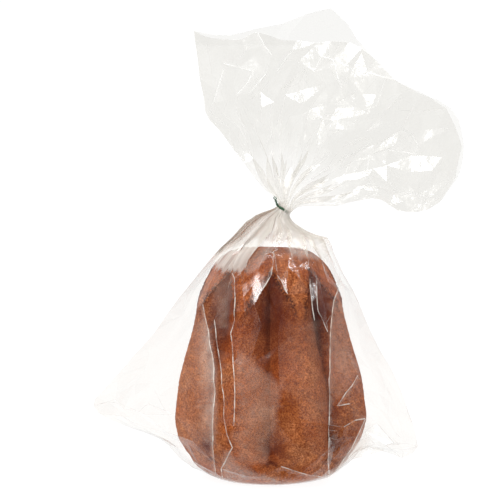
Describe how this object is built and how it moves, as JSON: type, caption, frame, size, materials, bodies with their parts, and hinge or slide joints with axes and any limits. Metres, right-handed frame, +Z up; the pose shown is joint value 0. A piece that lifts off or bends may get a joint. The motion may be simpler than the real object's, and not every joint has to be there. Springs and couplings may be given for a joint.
{
  "type": "pandoro in a clear bag",
  "caption": "Tall star-shaped sweet bread, golden brown, standing on its domed end in a loose clear film bag that a green wire tie gathers above it, the open end fanned out",
  "frame": {"origin": "centre of the flat foot of the loaf, on the surface it stands on", "axes": "+Z up along the loaf to the fanned end of the bag; +X to the side the fan leans to, along the bag's flat width; -Y to the front, where one valley of the star faces"},
  "size_m": [0.3549, 0.203, 0.4493],
  "materials": {
    "crust": "matte",
    "film": "gloss",
    "tie": "satin"
  },
  "bodies": {
    "root": {"pandoro": "crust", "bag": "film", "tie": "tie"}
  },
  "joints": []
}
